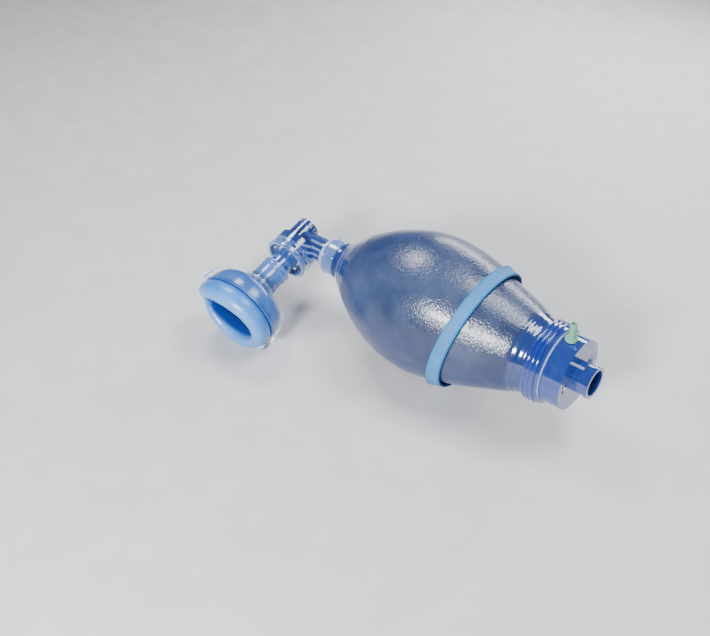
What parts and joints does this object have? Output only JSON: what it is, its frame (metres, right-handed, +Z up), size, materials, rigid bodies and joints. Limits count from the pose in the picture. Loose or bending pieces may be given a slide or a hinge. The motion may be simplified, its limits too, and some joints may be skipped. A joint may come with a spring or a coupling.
{
  "type": "bag valve mask",
  "caption": "Self-inflating hand-squeezed resuscitator: an egg-shaped bag with a hand strap, a swivelling patient valve with a pressure relief, a cushioned face mask and an intake valve.",
  "frame": {"origin": "on the floor under the middle of the object's box", "axes": "+X along the bag from the patient valve to the intake end, +Z up, the mask faces -Y and a little down"},
  "size_m": [0.3656, 0.188, 0.13],
  "materials": {
    "bag_pvc": "frosted translucent blue soft PVC, clearer and glossier at its front shoulder",
    "collar_clear_blue": "clear blue collar ring with two bright ridges",
    "tube_clear": "clear, faintly blue rigid tube",
    "seal_dark": "black nitrile ring",
    "strap_blue": "sky blue soft strap with a fine weave and pale edges",
    "collar_deep_blue": "glossy deep blue collar with three ridges",
    "housing_blue": "transparent royal blue moulded housing",
    "silicone_clear": "milky silicone flap",
    "button_white": "white moulded button",
    "nipple_green": "smooth moulded nipple",
    "valve_clear_blue": "transparent royal blue polycarbonate",
    "valve_flange_blue": "transparent blue with a pale rim",
    "port_blue": "transparent blue tube",
    "spring_steel": "fine drawn steel wire",
    "shell_blue": "pale translucent blue shell, soft gloss",
    "cushion_blue": "soft satin blue inflated skin",
    "hook_clear": "clear whitish flexible plastic",
    "plug_blue": "blue soft plug"
  },
  "bodies": {
    "bag_unit": {"bag": "bag_pvc", "neck_clamp_ring": "collar_clear_blue", "neck_insert": "tube_clear", "neck_o_ring": "seal_dark", "hand_strap": "strap_blue", "rear_collar": "collar_deep_blue", "intake_housing": "housing_blue", "intake_flap_button": "button_white", "rear_seal": "silicone_clear", "reservoir_housing": "housing_blue", "reservoir_flap_buttons": "button_white", "oxygen_nipple": "nipple_green"},
    "patient_valve": {"valve_inlet_housing": "valve_clear_blue", "inlet_snap_ring": "button_white", "valve_outlet_housing": "valve_flange_blue", "valve_seal": "silicone_clear", "lip_valve": "silicone_clear", "relief_cap": "valve_clear_blue"},
    "port": {"patient_port": "port_blue", "port_snap_ring": "button_white"},
    "mask": {"mask_shell": "shell_blue", "mask_cushion": "cushion_blue", "inflation_valve": "hook_clear"},
    "hooks": {"hook_ring": "hook_clear"},
    "plug": {"inflation_plug": "plug_blue"},
    "relief": {"relief_poppet": "button_white", "relief_spring": "spring_steel"},
    "intake_disc": {"intake_flap": "silicone_clear"},
    "overflow_disc": {"overflow_flap": "silicone_clear"},
    "air_disc": {"air_inlet_flap": "silicone_clear"}
  },
  "joints": [
    {"name": "valve_swivel", "type": "hinge", "parent": "bag_unit", "child": "patient_valve", "pos_m": [-0.11323, 0.02848, 0.0645], "axis": [1, 0, 0], "continuous": true},
    {"name": "port_swivel", "type": "hinge", "parent": "patient_valve", "child": "port", "pos_m": [-0.14023, 0.0092, 0.05915], "axis": [0, -0.9635, -0.2676], "continuous": true},
    {"name": "mask_pull_off", "type": "slide", "parent": "port", "child": "mask", "axis": [0, -0.9635, -0.2676], "range_m": [0, 0.022]},
    {"name": "hook_ring_turn", "type": "hinge", "parent": "mask", "child": "hooks", "pos_m": [-0.14023, -0.03704, 0.0463], "axis": [0, -0.9635, -0.2676], "continuous": true},
    {"name": "inflation_plug_pull", "type": "slide", "parent": "mask", "child": "plug", "axis": [0.5658, 0.2207, -0.7944], "range_m": [0, 0.012]},
    {"name": "relief_poppet_lift", "type": "slide", "parent": "patient_valve", "child": "relief", "axis": [0, 0.9635, 0.2676], "range_m": [0, 0.002], "stiffness_N_per_m": 200, "springref_m": -0.0028, "deforming": ["relief_spring"]},
    {"name": "intake_flap_lift", "type": "slide", "parent": "bag_unit", "child": "intake_disc", "axis": [-1, 0, 0], "range_m": [0, 0.0014], "stiffness_N_per_m": 20},
    {"name": "overflow_flap_lift", "type": "slide", "parent": "bag_unit", "child": "overflow_disc", "axis": [1, 0, 0], "range_m": [0, 0.0007], "stiffness_N_per_m": 20},
    {"name": "air_inlet_flap_lift", "type": "slide", "parent": "bag_unit", "child": "air_disc", "axis": [-1, 0, 0], "range_m": [0, 0.0007], "stiffness_N_per_m": 20}
  ]
}
